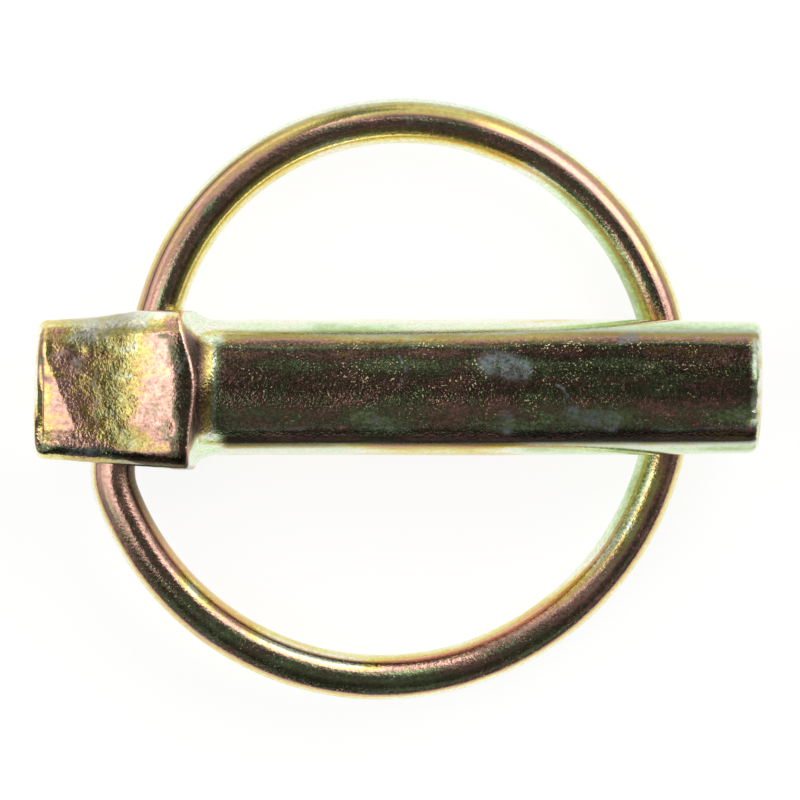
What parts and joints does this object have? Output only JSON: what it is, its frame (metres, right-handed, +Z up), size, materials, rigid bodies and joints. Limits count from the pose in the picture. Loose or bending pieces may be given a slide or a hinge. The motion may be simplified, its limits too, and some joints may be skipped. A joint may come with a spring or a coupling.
{
  "type": "lynch pin",
  "caption": "Lynch pin: round steel shank with an upset square head, and a spring-wire ring that turns in a skewed bore through the head and snaps shut across the shank.",
  "frame": {"origin": "on the shank's axis, where the plain shank starts at the end of the fillet under the head", "axes": "+X runs along the shank from the head towards the tip, level, with the shank itself rising about 4 degrees to the tip as the pin lies; +Z is up, off the surface that the head's lower edge and the ring's far side lie on; +Y is across the shank, towards the side where the ring leaves the head nearer the shank"},
  "size_m": [0.06, 0.0495, 0.0154],
  "materials": {
    "pin_plating": "forged carbon steel, yellow zinc chromate plated, iridescent, scuffed",
    "ring_plating": "drawn spring steel wire, yellow zinc chromate plated, iridescent"
  },
  "bodies": {
    "pin": {"pin": "pin_plating"},
    "ring": {"ring": "ring_plating"}
  },
  "joints": [
    {"name": "ring_swing", "type": "hinge", "parent": "pin", "child": "ring", "pos_m": [-0.00634, 0, -0.00045], "axis": [0.299, 0.9542, 0], "range_deg": [0, 180], "stiffness_Nm_per_rad": 0.15, "springref_deg": -68.75}
  ]
}
